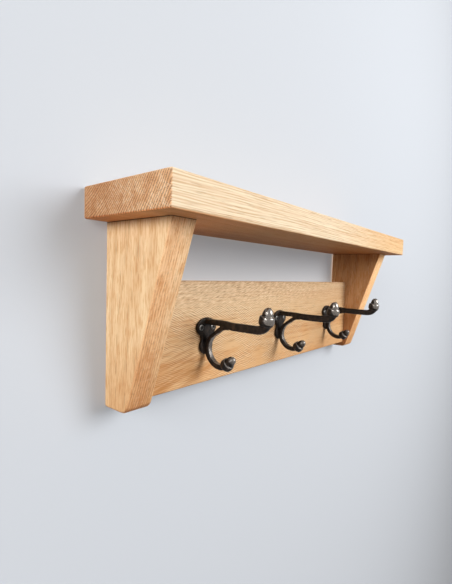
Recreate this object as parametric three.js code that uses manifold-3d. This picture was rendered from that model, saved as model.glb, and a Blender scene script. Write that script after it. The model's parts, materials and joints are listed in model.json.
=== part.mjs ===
// A small oak wall rack: a shelf on two tapered brackets, and a rail of cast-iron hooks between them.
// Millimetres. X runs along the rack, the front faces -Y, Z is up, and Y = 0 is the wall.
// The origin is the middle of the back of the rail.

import * as THREE from 'three';
import { RoundedBoxGeometry } from 'three/addons/geometries/RoundedBoxGeometry.js';
import { mergeVertices } from 'three/addons/utils/BufferGeometryUtils.js';
import Module from 'manifold-3d';

const wasm = await Module();
wasm.setup();

// Sizes of the shelf

const shelfLength = 600;
const shelfDepth = 120;
const shelfThickness = 30;
const shelfEdgeRadius = 2;

// Sizes of the brackets

const bracketThickness = 30;
const bracketInset = 24; // from the end of the shelf to the bracket's outer face
const bracketSetback = 25; // from the front of the shelf to the bracket's upper front corner
const bracketToeReach = 5; // how far the toe stands in front of the rail
const bracketToeDrop = 8; // how far the toe hangs below the rail
const bracketToeRadius = 10;
const bracketEdgeRadius = 2;

// Sizes of the rail

const railHeight = 120;
const railThickness = 30;
const railDrop = 56; // from the underside of the shelf to the top of the rail
const railEdgeRadius = 2;

// Sizes of a hook's back plate

const plateThickness = 3.5;
const plateEdgeRadius = 1;
const headWidth = 32.4;
const headHeight = 22.6;
const waistWidth = 17;
const tailRadius = 10.4;
const tailDrop = 21.8; // from the screws down to the centre of the tail

// Sizes of a hook's arm, crook and acorns

const strapWidth = 8;
const strapEdgeRadius = 1.5;
const armReach = 74; // from the rail to where the arm turns up
const armRise = 4.4; // from the screws up to the middle of the arm
const armHeight = 8.8;
const armRootRise = 6.7;
const armRootHeight = 6.4;
const armRootReach = 20;
const armBendRadius = 14;
const armBendAngle = degrees(50);
const armNeckHeight = 10.4;
const crookRadius = 17; // inside the crook
const crookThickness = 6.4;
const crookReach = 26.2; // from the rail to the centre of the crook
const crookDrop = 23.4; // from the screws down to the centre of the crook
const crookStart = degrees(125); // where the round of the crook starts, seen from its centre
const crookEnd = degrees(284);
const braceReach = 36; // from the rail to where the underside of the brace is lost in the arm
const braceThickness = 5; // where the brace runs into the crook
const upperAcornTilt = degrees(80); // up from straight out
const lowerAcornTilt = degrees(42);
const upperAcorn = { cupRadius: 8.3, cupLength: 10.8, nutRadius: 5.9, nutLength: 9.4 };
const lowerAcorn = { cupRadius: 7.6, cupLength: 9.2, nutRadius: 5.5, nutLength: 9.6 };
const nutCollar = 1.3; // the straight part of a nut, between its cup and its dome

// Places of the hooks

const hookPitch = 162;
const hookScrewDrop = 53.5; // from the top of the rail down to the screws
const hookScrewSpacing = 20;

// Sizes of the screws, from the seat of the head to the tip

const hookScrew = { headRadius: 3.6, domeHeight: 1.3, shankRadius: 2, length: 24, recess: 4.2 };
const hangerScrew = { headRadius: 3, domeHeight: 0, shankRadius: 1.5, length: 16, recess: 3.4 };
const recessWidth = 1.1;
const recessDepth = 1.6;

// Sizes and places of the dowels

const dowelRadius = 4;
const dowelDepth = 20; // how deep each hole for a dowel is
const dowelChamfer = 1;
const shelfDowelInset = 25; // from the back and from the front of the bracket's top
const railDowelInset = 30; // from the top and from the bottom of the rail

// Sizes and places of the hanger plates in the backs of the brackets

const hangerWidth = 16;
const hangerHeight = 42;
const hangerThickness = 2;
const hangerCornerRadius = 3;
const hangerSink = 0.3; // how far the plate lies below the back of the bracket
const hangerDrop = 46; // from the underside of the shelf to the middle of the plate
const hangerScrewInset = 4.5; // from the ends of the plate
const keyholeRadius = 4.6;
const keyholeSlotWidth = 4.8;
const keyholeTravel = 9; // from the round hole up to the end of the slot
const pocketDepth = 8;
const pocketMargin = 1;

// Fits and smoothness

const clearance = 0.3; // between a piece and the hole or seat that is cut for it
const roundSides = 16;
const acornSides = 20;
const arcSteps = 3;
const plateSteps = 8;
const edgeSteps = 2;

// Places that follow from the sizes

const railTop = railHeight / 2;
const shelfBottom = railTop + railDrop;
const bracketBottom = -railHeight / 2 - bracketToeDrop;
const bracketTopDepth = shelfDepth - bracketSetback;
const bracketToeDepth = railThickness + bracketToeReach;
const bracketHeelRadius = bracketEdgeRadius + 1; // rounder than the edges that run into it
const bracketInnerX = shelfLength / 2 - bracketInset - bracketThickness;
const bracketMiddleX = bracketInnerX + bracketThickness / 2;
const railLength = 2 * bracketInnerX;
const hookCount = Math.max(1, Math.floor(railLength / hookPitch));
const hookZ = railTop - hookScrewDrop;
const hangerZ = shelfBottom - hangerDrop;
const hangerRecess = hangerThickness + hangerSink;

// Materials

const oak = new THREE.MeshStandardMaterial({ color: 0xcfa271, roughness: 0.6, metalness: 0 });
const beech = new THREE.MeshStandardMaterial({ color: 0xd9b88c, roughness: 0.7, metalness: 0 });
const castIron = new THREE.MeshStandardMaterial({ color: 0x1f1c1a, roughness: 0.45, metalness: 0.8 });
const blackSteel = new THREE.MeshStandardMaterial({ color: 0x2b2a2a, roughness: 0.35, metalness: 0.9 });
const zincSteel = new THREE.MeshStandardMaterial({ color: 0xaeb2b5, roughness: 0.35, metalness: 0.9 });

const rack = new THREE.Group();

function degrees(angle) {
  return THREE.MathUtils.degToRad(angle);
}

function polar(radius, angle) {
  return new THREE.Vector2(radius * Math.cos(angle), radius * Math.sin(angle));
}

// Solids and meshes

function solidOf(geometry) {
  const bare = geometry.clone();
  bare.deleteAttribute('normal');
  bare.deleteAttribute('uv');
  const merged = mergeVertices(bare);
  return new wasm.Manifold(new wasm.Mesh({
    numProp: 3,
    vertProperties: new Float32Array(merged.attributes.position.array),
    triVerts: new Uint32Array(merged.index.array),
  }));
}

function geometryOf(solid) {
  const { vertProperties, triVerts } = solid.getMesh();
  const geometry = new THREE.BufferGeometry();
  geometry.setAttribute('position', new THREE.BufferAttribute(vertProperties, 3));
  geometry.setIndex(new THREE.BufferAttribute(triVerts, 1));
  geometry.computeVertexNormals();
  return geometry;
}

function joined(geometries) {
  return geometries.map(solidOf).reduce((whole, piece) => whole.add(piece));
}

function cut(solid, cutters) {
  return cutters.map(solidOf).reduce((rest, cutter) => rest.subtract(cutter), solid);
}

function addMesh(parent, name, geometry, material) {
  const mesh = new THREE.Mesh(geometry, material);
  mesh.name = name;
  parent.add(mesh);
  return mesh;
}

// Outlines

// A closed outline through the corners in counterclockwise order, each rounded to its own radius.
function roundedOutline(corners) {
  const outline = new THREE.Shape();
  corners.forEach(([x, y, radius], index) => {
    const here = new THREE.Vector2(x, y);
    const back = new THREE.Vector2(...corners.at(index - 1)).sub(here).normalize();
    const ahead = new THREE.Vector2(...corners[(index + 1) % corners.length]).sub(here).normalize();
    const halfAngle = Math.acos(back.dot(ahead)) / 2;
    const middle = back.clone().add(ahead).normalize().multiplyScalar(radius / Math.sin(halfAngle)).add(here);
    const start = back.multiplyScalar(radius / Math.tan(halfAngle)).add(here).sub(middle);
    const end = ahead.multiplyScalar(radius / Math.tan(halfAngle)).add(here).sub(middle);
    outline.absarc(middle.x, middle.y, radius, start.angle(), end.angle(), false);
  });
  return outline;
}

// A band along a line in the plane, as wide at each point as widthAt says.
// The share of the width that lies on the right of the line is half, unless another is given.
function bandOutline(line, widthAt, rightShare = 0.5) {
  const points = line.getPoints(2 * arcSteps);
  const sides = points.map((point, index) => {
    const before = points[Math.max(index - 1, 0)];
    const after = points[Math.min(index + 1, points.length - 1)];
    const ahead = after.clone().sub(before).normalize();
    const right = new THREE.Vector2(ahead.y, -ahead.x).multiplyScalar(widthAt(point));
    return [
      right.clone().multiplyScalar(rightShare).add(point),
      right.clone().multiplyScalar(rightShare - 1).add(point),
    ];
  });
  return new THREE.Shape([...sides.map(([right]) => right), ...sides.map(([, left]) => left).reverse()]);
}

// Slabs, which are outlines with a thickness and rounded edges

function slab(outline, thickness, edgeRadius, curveSegments = arcSteps) {
  const depth = thickness - 2 * edgeRadius;
  const geometry = new THREE.ExtrudeGeometry(outline, {
    depth,
    curveSegments,
    bevelEnabled: edgeRadius > 0,
    bevelThickness: edgeRadius,
    bevelSize: edgeRadius,
    bevelOffset: -edgeRadius,
    bevelSegments: edgeSteps,
  });
  return geometry.translate(0, 0, -depth / 2);
}

// A slab seen from the rack's end: the outline's x runs out from the wall, and its y runs up.
function sideSlab(outline, thickness, edgeRadius) {
  const outward = new THREE.Vector3(0, -1, 0);
  const upward = new THREE.Vector3(0, 0, 1);
  const turn = new THREE.Matrix4().makeBasis(outward, upward, outward.clone().cross(upward));
  return slab(outline, thickness, edgeRadius).applyMatrix4(turn);
}

// A slab seen from the front: the outline's x runs along the rack, and the back lies on Y = 0.
function frontSlab(outline, thickness, edgeRadius, curveSegments) {
  const geometry = slab(outline, thickness, edgeRadius, curveSegments);
  return geometry.translate(0, 0, thickness / 2).rotateX(Math.PI / 2);
}

// Round pieces, which are turned from a profile of radius and height

function turned(profile, sides = roundSides) {
  return new THREE.LatheGeometry(profile.map(([radius, height]) => new THREE.Vector2(radius, height)), sides);
}

// A dome's profile, from its rim at the given height up to its top.
function domeProfile(radius, rise, height = 0) {
  const curve = new THREE.EllipseCurve(0, height, radius, rise, 0, Math.PI / 2);
  return curve.getPoints(2 * arcSteps).map(({ x, y }) => [x, y]);
}

// A turned piece with its top pointing out and up by the angle, in the plane of a hook.
function turnedOutward(profile, angle, sides) {
  return turned(profile, sides).rotateX(Math.PI - angle);
}

// The space for a round peg that starts at the height zero and goes down.
function roundHole(radius, depth, mouth = clearance) {
  return turned([[0, -depth], [radius, -depth], [radius, mouth], [0, mouth]]);
}

// Woodwork

function dowel() {
  const halfLength = dowelDepth - clearance;
  const endRadius = dowelRadius - dowelChamfer;
  return turned([
    [0, -halfLength],
    [endRadius, -halfLength],
    [dowelRadius, dowelChamfer - halfLength],
    [dowelRadius, halfLength - dowelChamfer],
    [endRadius, halfLength],
    [0, halfLength],
  ]);
}

// A dowel's hole, as long as the holes in both pieces together.
function dowelHole() {
  return roundHole(dowelRadius + clearance, dowelDepth, dowelDepth);
}

const shelfDowels = [-1, 1].flatMap((side) => [
  { name: 'back', y: -shelfDowelInset },
  { name: 'front', y: shelfDowelInset - bracketTopDepth },
].map(({ name, y }) => ({
  name: `shelf_dowel_${sideName(side)}_${name}`,
  side,
  place: (geometry) => geometry.rotateX(Math.PI / 2).translate(side * bracketMiddleX, y, shelfBottom),
})));

const railDowels = [-1, 1].flatMap((side) => [
  { name: 'upper', z: railHeight / 2 - railDowelInset },
  { name: 'lower', z: railDowelInset - railHeight / 2 },
].map(({ name, z }) => ({
  name: `rail_dowel_${sideName(side)}_${name}`,
  side,
  place: (geometry) => geometry.rotateZ(Math.PI / 2).translate(side * bracketInnerX, -railThickness / 2, z),
})));

function sideName(side) {
  return side < 0 ? 'left' : 'right';
}

function shelf() {
  const board = new RoundedBoxGeometry(shelfLength, shelfDepth, shelfThickness, edgeSteps, shelfEdgeRadius);
  board.translate(0, -shelfDepth / 2, shelfBottom + shelfThickness / 2);
  return cut(solidOf(board), shelfDowels.map(({ place }) => place(dowelHole())));
}

// The outline runs on past the shelf's underside, so that the joint with the shelf stays square.
function bracketBlank() {
  const overrun = bracketEdgeRadius + bracketHeelRadius;
  const height = shelfBottom - bracketBottom;
  const slope = (bracketTopDepth - bracketToeDepth) / height;
  const outline = roundedOutline([
    [0, bracketBottom, bracketHeelRadius],
    [bracketToeDepth, bracketBottom, bracketToeRadius],
    [bracketTopDepth + slope * overrun, shelfBottom + overrun, bracketHeelRadius],
    [0, shelfBottom + overrun, bracketHeelRadius],
  ]);
  const offcut = new THREE.BoxGeometry(2 * bracketThickness, 2 * shelfDepth, 2 * overrun);
  offcut.translate(0, -shelfDepth / 2, shelfBottom + overrun);
  return cut(solidOf(sideSlab(outline, bracketThickness, bracketEdgeRadius)), [offcut]);
}

function bracket(side) {
  const blank = bracketBlank().translate([side * bracketMiddleX, 0, 0]);
  const dowels = [...shelfDowels, ...railDowels].filter((peg) => peg.side === side);
  return cut(blank, [
    ...dowels.map(({ place }) => place(dowelHole())),
    ...hangerCuts().map((cutter) => cutter.translate(side * bracketMiddleX, 0, hangerZ)),
  ]);
}

function rail() {
  const outline = roundedOutline([
    [0, -railHeight / 2, railEdgeRadius],
    [railThickness, -railHeight / 2, railEdgeRadius],
    [railThickness, railHeight / 2, railEdgeRadius],
    [0, railHeight / 2, railEdgeRadius],
  ]);
  const pilotDepth = hookScrew.length - plateThickness + clearance;
  const pilotHole = () => roundHole(hookScrew.shankRadius + clearance, pilotDepth).rotateX(Math.PI);
  return cut(solidOf(sideSlab(outline, railLength, 0)), [
    ...railDowels.map(({ place }) => place(dowelHole())),
    ...hookPlaces().flatMap((x) => hookScrewPlaces().map((offset) =>
      pilotHole().translate(x + offset, -railThickness, hookZ))),
  ]);
}

// Screws and their holes, with the seat of the head at the height zero

function screw({ headRadius, domeHeight, shankRadius, length, recess }) {
  const body = turned([
    [0, -length],
    [shankRadius, 2 * shankRadius - length],
    [shankRadius, shankRadius - headRadius],
    ...domeProfile(headRadius, domeHeight),
  ]);
  const slots = [0, Math.PI / 2].map((angle) => {
    const slot = new THREE.BoxGeometry(recess, 2 * recessDepth, recessWidth);
    return slot.rotateY(angle).translate(0, domeHeight, 0);
  });
  return cut(solidOf(body), slots);
}

// The hole through a plate, wide enough for the screw's shank and for the cone under its head.
function countersink({ headRadius, shankRadius }, plate) {
  const shank = shankRadius + clearance;
  const head = headRadius + clearance;
  return turned([
    [0, -plate - clearance],
    [shank, -plate - clearance],
    [shank, shank - head],
    [head, 0],
    [head, clearance],
    [0, clearance],
  ]);
}

// Hooks

function hookPlaces() {
  return Array.from({ length: hookCount }, (_, index) => (index - (hookCount - 1) / 2) * hookPitch);
}

function hookScrewPlaces() {
  return [-hookScrewSpacing / 2, hookScrewSpacing / 2];
}

// The wide head holds the screws, and the round tail lies behind the crook.
function plateOutline() {
  const headEnd = degrees(42); // how far the head's curve runs on below its widest points
  const tailStart = degrees(23);
  const headX = (headWidth / 2) * Math.cos(headEnd);
  const headY = -(headHeight / 2) * Math.sin(headEnd);
  const tailX = tailRadius * Math.cos(tailStart);
  const tailY = tailRadius * Math.sin(tailStart) - tailDrop;
  const waistX = waistWidth - (headX + tailX) / 2;
  const waistY = (headY + tailY) / 2;
  const outline = new THREE.Shape();
  outline.absellipse(0, 0, headWidth / 2, headHeight / 2, -headEnd, Math.PI + headEnd, false, 0);
  outline.quadraticCurveTo(-waistX, waistY, -tailX, tailY);
  outline.absarc(0, -tailDrop, tailRadius, Math.PI - tailStart, 2 * Math.PI + tailStart, false);
  outline.quadraticCurveTo(waistX, waistY, headX, headY);
  return outline;
}

function armOutline() {
  const line = new THREE.Path();
  const slope = (armReach - armRootReach) / 4;
  line.moveTo(plateEdgeRadius, armRootRise);
  line.lineTo(armRootReach, armRootRise);
  line.bezierCurveTo(
    armRootReach + slope, armRootRise,
    armRootReach + slope, armRise,
    armRootReach + 2 * slope, armRise,
  );
  line.lineTo(armReach, armRise);
  line.quadraticCurveTo(armReach + armBendRadius * Math.tan(armBendAngle / 2), armRise, ...armEnd());
  line.lineTo(...neckEnd());
  return bandOutline(line, ({ x }) => {
    const root = THREE.MathUtils.smoothstep(x, armRootReach, armRootReach + 2 * slope);
    const neck = THREE.MathUtils.smoothstep(x, armReach, armEnd().x);
    return armRootHeight + root * (armHeight - armRootHeight) + neck * (armNeckHeight - armHeight);
  });
}

// The end of the arm's bend, which is also the back of the acorn on it.
function armEnd() {
  return new THREE.Vector2(
    armReach + armBendRadius * Math.sin(armBendAngle),
    armRise + armBendRadius * (1 - Math.cos(armBendAngle)),
  );
}

// The arm runs on into the cup of the acorn.
function neckEnd() {
  return polar(upperAcorn.cupLength / 2, armBendAngle).add(armEnd());
}

// The brace leaves the underside of the arm and turns down into the crook, which is thicker.
// The line is the inside of the bend, so that the thickness lies on its right.
function crookOutline() {
  const underside = armRise - armHeight / 2;
  const start = crookPoint(crookRadius, crookStart);
  const handle = (braceReach - start.x) / 2;
  const line = new THREE.Path();
  line.moveTo(braceReach, underside);
  line.bezierCurveTo(
    braceReach - handle, underside,
    ...polar(handle, crookStart - Math.PI / 2).add(start),
    ...start,
  );
  line.absarc(crookReach, -crookDrop, crookRadius, crookStart, crookEnd, false);
  return bandOutline(line, ({ y }) => {
    const brace = THREE.MathUtils.smoothstep(y, -crookDrop, start.y);
    return crookThickness + brace * (braceThickness - crookThickness);
  }, 1);
}

// The point at the radius and the angle from the centre of the crook.
function crookPoint(radius, angle) {
  return polar(radius, angle).add(new THREE.Vector2(crookReach, -crookDrop));
}

// A rounded cup with a nut standing in it. The height zero is the back of the cup.
function acornProfile({ cupRadius, cupLength, nutRadius, nutLength }) {
  const cup = new THREE.Path();
  cup.moveTo(cupRadius / 2, 0);
  cup.quadraticCurveTo(cupRadius, 0, cupRadius, cupLength / 2);
  cup.quadraticCurveTo(cupRadius, cupLength, (cupRadius + nutRadius) / 2, cupLength);
  return [
    [0, 0],
    ...cup.getPoints(arcSteps).map(({ x, y }) => [x, y]),
    [nutRadius, cupLength],
    ...domeProfile(nutRadius, nutLength - nutCollar, cupLength + nutCollar),
  ];
}

function acorn(shape, tilt, base) {
  return turnedOutward(acornProfile(shape), tilt, acornSides).translate(0, -base.x, base.y);
}

function hook() {
  const casting = joined([
    frontSlab(plateOutline(), plateThickness, plateEdgeRadius, plateSteps),
    sideSlab(armOutline(), strapWidth, strapEdgeRadius),
    sideSlab(crookOutline(), strapWidth, strapEdgeRadius),
    acorn(upperAcorn, upperAcornTilt, armEnd()),
    acorn(lowerAcorn, lowerAcornTilt, crookPoint(crookRadius + crookThickness / 2, crookEnd)),
  ]);
  return cut(casting, hookScrewPlaces().map((x) =>
    countersink(hookScrew, plateThickness).rotateX(Math.PI).translate(x, -plateThickness, 0)));
}

// Hanger plates

function hangerScrewPlaces() {
  const offset = hangerHeight / 2 - hangerScrewInset;
  return [{ name: 'upper', z: offset }, { name: 'lower', z: -offset }];
}

function hangerOutline(margin) {
  const x = hangerWidth / 2 + margin;
  const z = hangerHeight / 2 + margin;
  const radius = hangerCornerRadius + margin;
  return roundedOutline([[-x, -z, radius], [x, -z, radius], [x, z, radius], [-x, z, radius]]);
}

function keyhole() {
  const slotRadius = keyholeSlotWidth / 2;
  const mouth = Math.asin(slotRadius / keyholeRadius);
  const outline = new THREE.Shape();
  outline.absarc(0, -keyholeTravel / 2, keyholeRadius, Math.PI / 2 + mouth, 2.5 * Math.PI - mouth, false);
  outline.absarc(0, keyholeTravel / 2, slotRadius, 0, Math.PI, false);
  return outline;
}

function hangerPlate() {
  const outline = hangerOutline(0);
  outline.holes.push(keyhole());
  const plate = frontSlab(outline, hangerThickness, 0, plateSteps).translate(0, -hangerSink, 0);
  return cut(solidOf(plate), hangerScrewPlaces().map(({ z }) =>
    countersink(hangerScrew, hangerThickness).translate(0, -hangerSink, z)));
}

// The recess for the plate, the pocket for the wall screw's head, and the holes for the plate's screws.
function hangerCuts() {
  const pocketWidth = 2 * (keyholeRadius + pocketMargin);
  const pocketHeight = keyholeTravel + pocketWidth;
  const pocket = new THREE.BoxGeometry(pocketWidth, 2 * (hangerRecess + pocketDepth), pocketHeight);
  const recess = frontSlab(hangerOutline(clearance), 2 * hangerRecess, 0).translate(0, hangerRecess, 0);
  const pilotDepth = hangerScrew.length + hangerSink + clearance;
  const pilotHoles = hangerScrewPlaces().map(({ z }) =>
    roundHole(hangerScrew.shankRadius + clearance, pilotDepth).translate(0, 0, z));
  return [recess, pocket, ...pilotHoles];
}

// The woodwork in place

addMesh(rack, 'shelf', geometryOf(shelf()), oak);
addMesh(rack, 'hook_rail', geometryOf(rail()), oak);
for (const side of [-1, 1]) {
  addMesh(rack, `${sideName(side)}_bracket`, geometryOf(bracket(side)), oak);
}
for (const { name, place } of [...shelfDowels, ...railDowels]) {
  addMesh(rack, name, place(dowel()), beech);
}

// The hooks and their screws in place

for (const [index, x] of hookPlaces().entries()) {
  const group = new THREE.Group();
  const name = `hook_${index + 1}`;
  group.position.set(x, -railThickness, hookZ);
  rack.add(group);
  addMesh(group, name, geometryOf(hook()), castIron);
  for (const offset of hookScrewPlaces()) {
    const screwName = `${name}_screw_${sideName(offset)}`;
    const mesh = addMesh(group, screwName, geometryOf(screw(hookScrew)), blackSteel);
    mesh.rotation.x = Math.PI;
    mesh.position.set(offset, -plateThickness, 0);
  }
}

// The hanger plates and their screws in place

for (const side of [-1, 1]) {
  const group = new THREE.Group();
  group.position.set(side * bracketMiddleX, 0, hangerZ);
  rack.add(group);
  addMesh(group, `hanger_plate_${sideName(side)}`, geometryOf(hangerPlate()), zincSteel);
  for (const { name, z } of hangerScrewPlaces()) {
    const screwName = `hanger_screw_${sideName(side)}_${name}`;
    const mesh = addMesh(group, screwName, geometryOf(screw(hangerScrew)), zincSteel);
    mesh.position.set(0, -hangerSink, z);
  }
}

export default rack;
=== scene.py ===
# A small oak wall rack: a shelf on two tapered brackets, and a rail of cast-iron hooks between them.
# Metres. X runs along the rack, the front faces -Y, Z is up, and Y = 0 is the wall.

import json
import math

import bmesh
import bpy
import numpy
from mathutils import Matrix, Vector

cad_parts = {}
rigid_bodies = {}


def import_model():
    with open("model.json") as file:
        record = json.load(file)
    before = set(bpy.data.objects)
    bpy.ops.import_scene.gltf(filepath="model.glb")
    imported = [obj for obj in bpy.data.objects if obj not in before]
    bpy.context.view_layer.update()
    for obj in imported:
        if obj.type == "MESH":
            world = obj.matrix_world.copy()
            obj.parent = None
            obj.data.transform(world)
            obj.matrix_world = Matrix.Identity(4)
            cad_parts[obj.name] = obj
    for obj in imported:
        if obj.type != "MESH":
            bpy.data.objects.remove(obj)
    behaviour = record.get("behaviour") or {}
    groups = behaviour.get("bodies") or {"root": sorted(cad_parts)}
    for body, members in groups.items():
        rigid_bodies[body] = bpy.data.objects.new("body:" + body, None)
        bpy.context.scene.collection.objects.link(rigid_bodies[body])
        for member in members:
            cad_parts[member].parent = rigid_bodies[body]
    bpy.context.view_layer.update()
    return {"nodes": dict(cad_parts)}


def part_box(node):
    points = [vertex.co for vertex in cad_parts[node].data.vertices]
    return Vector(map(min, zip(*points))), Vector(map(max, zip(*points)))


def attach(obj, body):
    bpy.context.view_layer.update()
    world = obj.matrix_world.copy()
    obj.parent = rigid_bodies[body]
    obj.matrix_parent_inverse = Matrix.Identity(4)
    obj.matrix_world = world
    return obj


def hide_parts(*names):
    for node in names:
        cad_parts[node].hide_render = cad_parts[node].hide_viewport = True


for leftover in list(bpy.data.objects):
    bpy.data.objects.remove(leftover)

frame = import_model()

MM = 0.001


# Camera

def camera_axes(yaw, pitch, roll):
    """The camera's right, up and backward directions. At zero radians it looks along Y."""
    level = Vector((-math.sin(yaw), math.cos(yaw), 0))
    forward = math.cos(pitch) * level + math.sin(pitch) * Vector((0, 0, 1))
    right = forward.cross(Vector((0, 0, 1))).normalized()
    up = right.cross(forward)
    tilted_right = math.cos(roll) * right + math.sin(roll) * up
    tilted_up = math.cos(roll) * up - math.sin(roll) * right
    return Matrix((tilted_right, tilted_up, -forward)).transposed()


def add_camera():
    """Looks from the left, from about the height of the rail's top, as the photograph does."""
    place = Vector((-0.48897, -0.33150, 0.06862))
    axes = camera_axes(yaw=-0.8787, pitch=-0.0641, roll=0.0305)
    camera = bpy.data.objects.new("camera", bpy.data.cameras.new("camera"))
    camera.matrix_world = Matrix.Translation(place) @ axes.to_4x4()
    camera.data.sensor_width = 36
    camera.data.lens = 23.425
    camera.data.shift_y = 0.0116
    camera.data.clip_start = 0.01
    camera.data.clip_end = 50
    bpy.context.scene.collection.objects.link(camera)
    bpy.context.scene.camera = camera


# Node trees

class Graph:
    """Short calls for the nodes of one tree. A value is a number, a tuple or another node's socket."""

    def __init__(self, tree):
        self.tree = tree
        tree.nodes.clear()

    def node(self, kind, **settings):
        """A new node of a kind, with its own settings."""
        node = self.tree.nodes.new("ShaderNode" + kind)
        for name, value in settings.items():
            setattr(node, name, value)
        return node

    def plug(self, socket, value):
        """Links a socket to another, or sets its value. A colour is its red, green and blue."""
        if isinstance(value, bpy.types.NodeSocket):
            self.tree.links.new(value, socket)
        elif socket.type == "RGBA":
            socket.default_value = (*value, 1)
        else:
            socket.default_value = value

    def plug_all(self, sockets, values):
        for socket, value in zip(sockets, values):
            self.plug(socket, value)

    def math(self, operation, *values, clamp=False):
        node = self.node("Math", operation=operation, use_clamp=clamp)
        self.plug_all(node.inputs, values)
        return node.outputs[0]

    def plus(self, first, second, clamp=False):
        return self.math("ADD", first, second, clamp=clamp)

    def minus(self, first, second):
        return self.math("SUBTRACT", first, second)

    def times(self, first, second, clamp=False):
        return self.math("MULTIPLY", first, second, clamp=clamp)

    def linear(self, value, slope, start):
        """The value times the slope, plus the start."""
        return self.math("MULTIPLY_ADD", value, slope, start)

    def centred(self, value, gain, middle=0.5):
        """How far the value lies above the middle, times the gain."""
        return self.times(self.minus(value, middle), gain)

    def vector(self, operation, *values, result=0):
        """A vector operation. Result 1 is for those that give a single number."""
        node = self.node("VectorMath", operation=operation)
        self.plug_all(node.inputs, values)
        return node.outputs[result]

    def split(self, value):
        node = self.node("SeparateXYZ")
        self.plug(node.inputs[0], value)
        return tuple(node.outputs)

    def join(self, *values):
        node = self.node("CombineXYZ")
        self.plug_all(node.inputs, values)
        return node.outputs[0]

    def ramp(self, value, low, high, to_low=0.0, to_high=1.0):
        """A smooth step from one value to the other."""
        node = self.node("MapRange", interpolation_type="SMOOTHSTEP")
        self.plug_all(node.inputs, (value, low, high, to_low, to_high))
        return node.outputs[0]

    def mix(self, share, first, second, blend="MIX"):
        """One colour that turns into another by the share."""
        node = self.node("Mix", data_type="RGBA", blend_type=blend)
        self.plug(node.inputs[0], share)
        self.plug(node.inputs[6], first)
        self.plug(node.inputs[7], second)
        return node.outputs[2]

    def tint(self, share, colour, filtered):
        """The colour, multiplied by another one by the share."""
        return self.mix(share, colour, filtered, "MULTIPLY")

    def blend(self, share, first, second):
        """One shader that turns into another by the share."""
        node = self.node("MixShader")
        self.plug_all(node.inputs, (share, first, second))
        return node.outputs[0]

    def noise(self, place, stretch, detail=2.0, roughness=0.5, result=0):
        """Cloudy noise. The stretch is about how many waves each axis has in a unit, and result 1 is three
        values at once."""
        node = self.node("TexNoise")
        self.plug(node.inputs["Vector"], self.vector("MULTIPLY", place, stretch))
        node.inputs["Scale"].default_value = 1.0
        node.inputs["Detail"].default_value = detail
        node.inputs["Roughness"].default_value = roughness
        return node.outputs[result]

    def cells(self, place, stretch):
        """The distance from the middle of the nearest random cell. The stretch is how many cells each axis
        has in a unit."""
        node = self.node("TexVoronoi")
        self.plug(node.inputs["Vector"], self.vector("MULTIPLY", place, stretch))
        node.inputs["Scale"].default_value = 1.0
        return node.outputs["Distance"]

    def bump(self, height, depth):
        """A bumpy normal. The depth is in millimetres."""
        node = self.node("Bump")
        node.inputs["Strength"].default_value = 1.0
        node.inputs["Distance"].default_value = depth * MM
        self.plug(node.inputs["Height"], height)
        return node.outputs[0]

    def surface(self, **values):
        """The finished surface. A name is a socket of the shader, with spaces as underscores."""
        shader = self.node("BsdfPrincipled")
        for name, value in values.items():
            self.plug(shader.inputs[name.replace("_", " ")], value)
        out = self.node("OutputMaterial")
        self.plug(out.inputs["Surface"], shader.outputs[0])


def new_material(name):
    material = bpy.data.materials.new(name)
    material.use_nodes = True
    return material, Graph(material.node_tree)


def millimetres(graph):
    """The place on the object, in millimetres."""
    place = graph.node("TexCoord").outputs["Object"]
    return graph.vector("MULTIPLY", place, (1 / MM,) * 3)


def box_of(node):
    """The lowest and the highest corner of a solid, in millimetres."""
    low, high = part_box(node)
    return low / MM, high / MM


# Oak. The texture is solid, so that a board's faces and ends match along their edges.

LYING = (0, math.radians(-90), 0)
UPRIGHT = (0, 0, 0)
RING_WIDTH = 2.6
RAY_SPACING = 2.4
END_TINT = (0.95, 0.70, 0.55)
RINGS_ON_END = 0.7
PORES_ON_END = 0.91
PORE_SHADE = 0.36
RAY_GLEAM = 0.2


def log_space(graph, coordinates, turn, pith):
    """Millimetres in the tree: Z along the trunk, and the pith at X = Y = 0. The turn brings the board's
    grain to Z, and the pith is where the middle of the tree then lies."""
    mapping = graph.node("Mapping")
    graph.plug(mapping.inputs["Vector"], coordinates.outputs["Object"])
    mapping.inputs["Location"].default_value = (-pith[0], -pith[1], 0)
    mapping.inputs["Rotation"].default_value = turn
    mapping.inputs["Scale"].default_value = (1 / MM,) * 3
    return mapping.outputs[0]


def end_share(graph, coordinates, turn):
    """How squarely a face cuts the grain, from 0 along it to 1 across it."""
    mapping = graph.node("Mapping", vector_type="NORMAL")
    graph.plug(mapping.inputs["Vector"], coordinates.outputs["Normal"])
    mapping.inputs["Rotation"].default_value = turn
    return graph.ramp(graph.math("ABSOLUTE", graph.split(mapping.outputs[0])[2]), 0.0, 0.75)


def bent_grain(graph, log):
    """The tree's coordinates with slow bends, and then with small waves as well."""
    bend = graph.noise(log, (0.012, 0.012, 0.0035), 1.0, result=1)
    wave = graph.noise(log, (0.16, 0.16, 0.03), 1.0, result=1)
    bent = graph.vector("MULTIPLY_ADD", bend, (16.0, 16.0, 0.0), log)
    return bent, graph.vector("MULTIPLY_ADD", wave, (1.2, 1.2, 0.0), bent)


def early_wood(graph, radius):
    """The open part of each growth ring. The rings are uneven in width."""
    uneven = graph.noise(graph.join(radius, 0.0, 0.0), (0.09, 0.0, 0.0), 1.0)
    phase = graph.math("FRACT", graph.linear(radius, 1 / RING_WIDTH, graph.times(uneven, 1.5)))
    return graph.times(graph.ramp(phase, 0.0, 0.15), graph.ramp(phase, 0.65, 0.3))


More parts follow.
